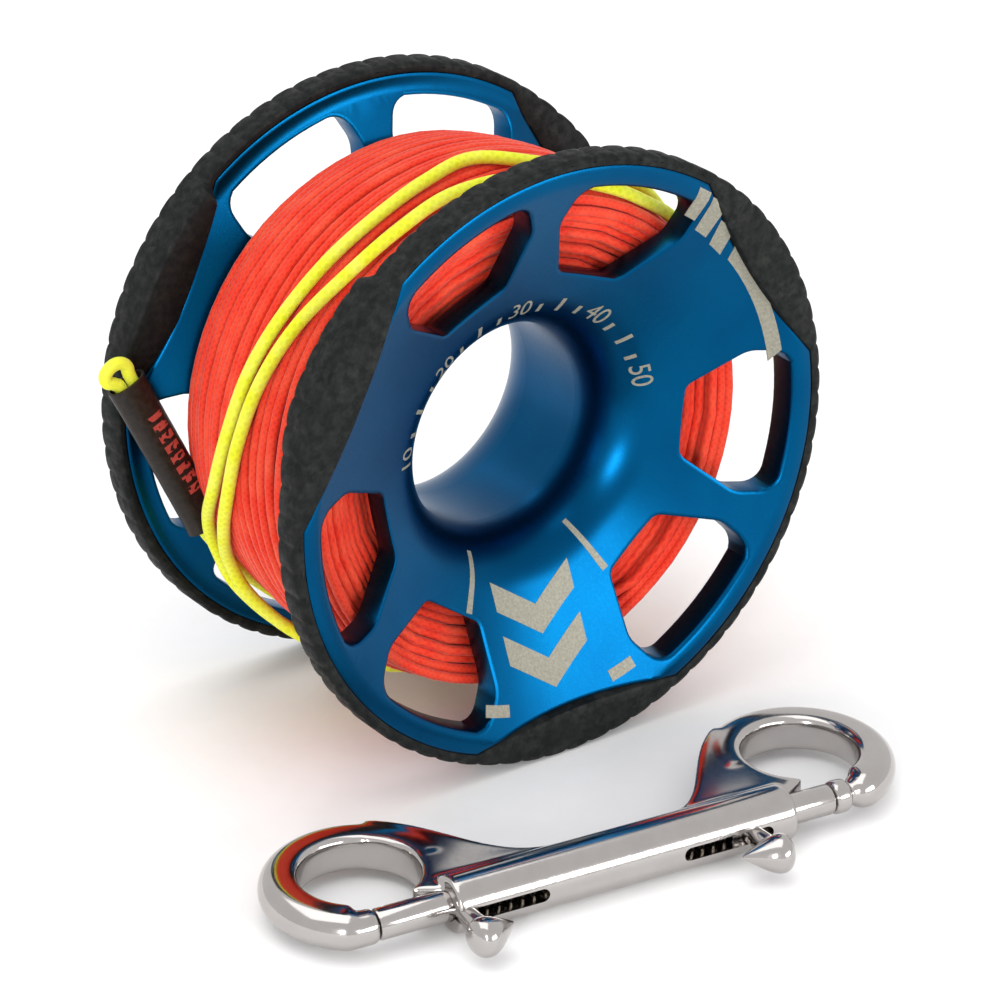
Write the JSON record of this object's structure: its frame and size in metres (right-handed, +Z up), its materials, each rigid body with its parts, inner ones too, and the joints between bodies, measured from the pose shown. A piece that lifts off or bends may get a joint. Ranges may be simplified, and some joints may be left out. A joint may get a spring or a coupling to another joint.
{
  "type": "finger spool",
  "caption": "Dished two-flange finger spool wound with guideline, with rubber grip rims, an end loop in a sleeve and a double-ended bolt snap.",
  "frame": {"origin": "centre of the finger hole, at mid width of the spool", "axes": "+Y along the spool's axis, from the front flange to the rear flange; +Z up; the spool stands on its rims at z = -0.05"},
  "size_m": [0.1184, 0.1091, 0.1],
  "materials": {
    "anodised_blue": "satin blue anodising",
    "grip_rubber": "matt moulded rubber",
    "guideline": "braided nylon, orange",
    "leader_line": "braided nylon, fluorescent yellow",
    "shrink_sleeve": "shrunk tubing",
    "polished_steel": "polished stainless steel",
    "spring_steel": "drawn wire"
  },
  "bodies": {
    "spool": {"front_flange": "anodised_blue", "rear_flange": "anodised_blue", "hub_barrel": "anodised_blue", "front_grip_band": "grip_rubber", "rear_grip_band": "grip_rubber", "anchor_hitch": "guideline", "line_pack": "guideline", "line_knot": "leader_line", "leader": "leader_line", "end_sleeve": "shrink_sleeve"},
    "snap": {"snap_body": "polished_steel", "left_spring": "spring_steel", "right_spring": "spring_steel"},
    "left_gate": {"left_gate": "polished_steel", "left_thumb_stud": "polished_steel"},
    "right_gate": {"right_gate": "polished_steel", "right_thumb_stud": "polished_steel"}
  },
  "joints": [
    {"name": "snap_lift", "type": "slide", "parent": "spool", "child": "snap", "axis": [0, 0, 1], "range_m": [0, 0.1]},
    {"name": "left_gate_slide", "type": "slide", "parent": "snap", "child": "left_gate", "axis": [0.9917, -0.1288, 0], "range_m": [0, 0.012], "stiffness_N_per_m": 400, "springref_m": -0.006, "deforming": ["left_spring"]},
    {"name": "right_gate_slide", "type": "slide", "parent": "snap", "child": "right_gate", "axis": [-0.9917, 0.1288, 0], "range_m": [0, 0.011], "stiffness_N_per_m": 400, "springref_m": -0.006, "deforming": ["right_spring"]}
  ]
}
